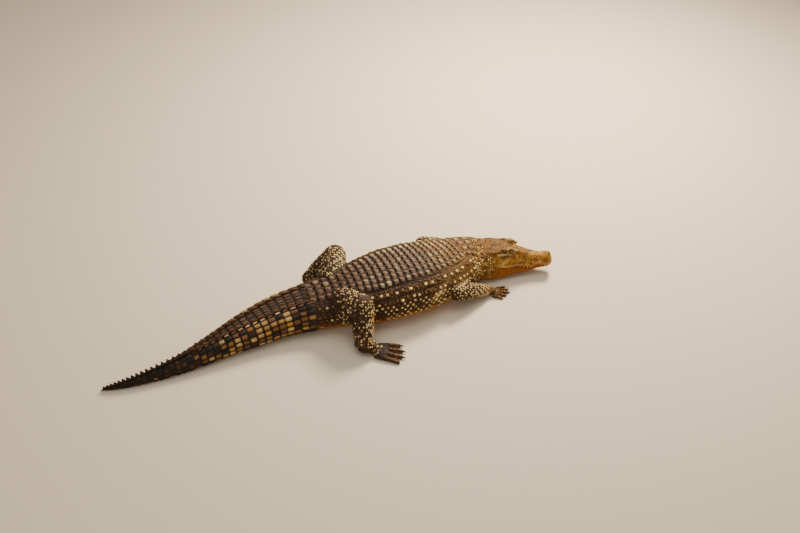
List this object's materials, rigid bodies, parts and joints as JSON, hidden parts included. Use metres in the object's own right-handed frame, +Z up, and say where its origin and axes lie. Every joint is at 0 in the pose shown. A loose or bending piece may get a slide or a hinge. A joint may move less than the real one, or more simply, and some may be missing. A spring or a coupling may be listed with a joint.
{
  "type": "crocodile",
  "caption": "Life-size crocodile lying at rest with its head raised and turned, legs splayed and tail trailing behind.",
  "frame": {"origin": "on the floor, in the middle of the flat underside of the belly", "axes": "+X forward along the trunk, towards the head; +Y to the animal's left; +Z up"},
  "size_m": [2.459, 0.8326, 0.2444],
  "materials": {
    "head_hide": "satin, golden brown with dark flecks",
    "jaw_hide": "satin, orange tan",
    "body_hide": "satin, dark brown with cream bumps along the flanks",
    "tail_hide": "satin, dark bars over yellow ochre",
    "leg_hide": "satin, dark brown with cream speckles",
    "eye": "wet gloss",
    "claw": "satin horn"
  },
  "bodies": {
    "root": {"head": "head_hide", "lower_jaw": "jaw_hide", "eye_left": "eye", "eye_right": "eye", "neck": "body_hide", "thorax": "body_hide", "belly": "body_hide", "pelvis": "body_hide", "tail_base": "tail_hide", "tail_middle": "tail_hide", "tail_end": "tail_hide", "hind_left_thigh": "leg_hide", "hind_left_shank": "leg_hide", "hind_left_foot": "leg_hide", "hind_left_claw_1": "claw", "hind_left_claw_2": "claw", "hind_left_claw_3": "claw", "hind_right_thigh": "leg_hide", "hind_right_shank": "leg_hide", "hind_right_foot": "leg_hide", "hind_right_claw_1": "claw", "hind_right_claw_2": "claw", "hind_right_claw_3": "claw", "fore_left_upper_arm": "leg_hide", "fore_left_forearm": "leg_hide", "fore_left_hand": "leg_hide", "fore_left_claw_1": "claw", "fore_left_claw_2": "claw", "fore_left_claw_3": "claw", "fore_right_upper_arm": "leg_hide", "fore_right_forearm": "leg_hide", "fore_right_hand": "leg_hide", "fore_right_claw_1": "claw", "fore_right_claw_2": "claw", "fore_right_claw_3": "claw"}
  },
  "joints": []
}
